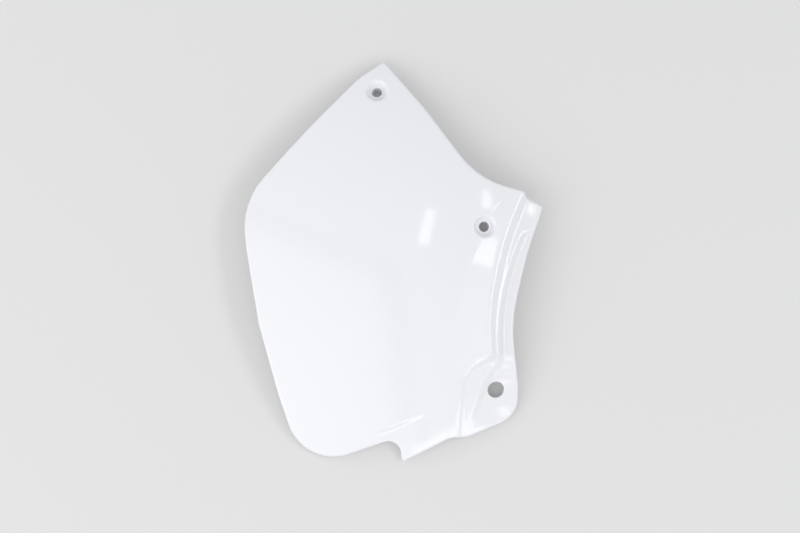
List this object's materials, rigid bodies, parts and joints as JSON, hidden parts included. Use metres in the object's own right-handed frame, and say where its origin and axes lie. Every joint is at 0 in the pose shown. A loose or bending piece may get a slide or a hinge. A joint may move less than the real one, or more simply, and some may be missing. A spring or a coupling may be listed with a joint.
{
  "type": "motorbike side panel",
  "caption": "Crowned moulded side panel of an off-road motorbike, with a stepped flange, two dished bolt holes and a grommet lug.",
  "frame": {"origin": "on the surface that the panel lies on, under the middle of its box in plan", "axes": "+X across the panel to the mounting flange, +Y along it to the apex, +Z out of the outer face"},
  "size_m": [0.2386, 0.3216, 0.0355],
  "materials": {
    "white_plastic": "gloss"
  },
  "bodies": {
    "root": {"side_panel": "white_plastic"}
  },
  "joints": []
}
